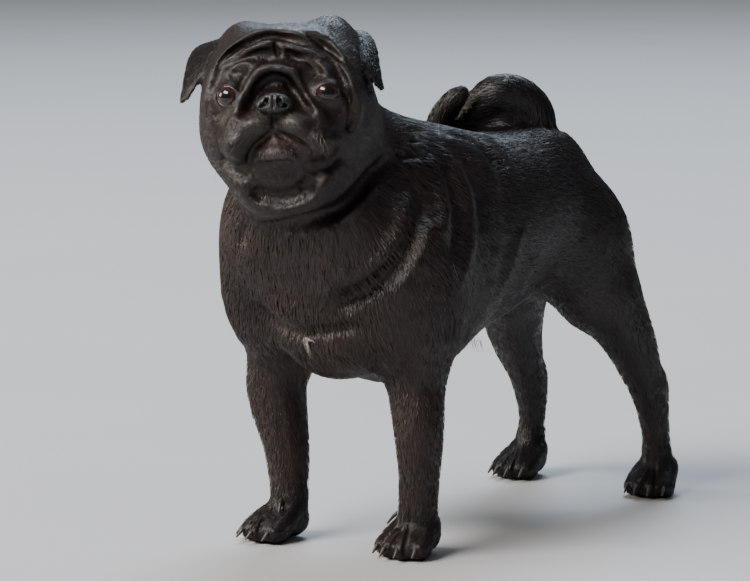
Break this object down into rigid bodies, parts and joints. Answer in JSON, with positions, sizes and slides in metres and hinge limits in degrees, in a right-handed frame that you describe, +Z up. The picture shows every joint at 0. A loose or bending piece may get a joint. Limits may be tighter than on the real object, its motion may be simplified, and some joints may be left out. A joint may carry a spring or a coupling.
{
  "type": "pug",
  "caption": "Life-size still model of a standing black pug with a folded face, button ears and a curled tail",
  "frame": {"origin": "middle of the model's box on the floor, at the level of the paws' flats", "axes": "+X is the dog's left side, -Y the way its body faces, +Y runs back to the rump, +Z is up"},
  "size_m": [0.1836, 0.4384, 0.3792],
  "materials": {
    "coat": "short dense black fur with a brown and blue-grey sheen",
    "leather": "damp black nose skin with a fine pebbled grain",
    "eye": "wet glossy eyeball with a reddish-brown iris and a large pupil",
    "claw": "smooth grey-beige horn, darker at the root"
  },
  "bodies": {
    "root": {"claw_front_left_1": "claw", "claw_front_left_2": "claw", "claw_front_left_3": "claw", "claw_front_left_4": "claw", "claw_front_right_1": "claw", "claw_front_right_2": "claw", "claw_front_right_3": "claw", "claw_front_right_4": "claw", "claw_hind_left_1": "claw", "claw_hind_left_2": "claw", "claw_hind_left_3": "claw", "claw_hind_left_4": "claw", "claw_hind_right_1": "claw", "claw_hind_right_2": "claw", "claw_hind_right_3": "claw", "claw_hind_right_4": "claw", "dewclaw_left": "claw", "dewclaw_right": "claw", "ear_left": "coat", "ear_right": "coat", "eye_left": "eye", "eye_right": "eye", "foreleg_left": "coat", "foreleg_right": "coat", "head": "coat", "hindleg_left": "coat", "hindleg_right": "coat", "neck": "coat", "nose": "leather", "paw_front_left": "coat", "paw_front_right": "coat", "paw_hind_left": "coat", "paw_hind_right": "coat", "tail_base": "coat", "tail_tip": "coat", "torso": "coat"}
  },
  "joints": []
}
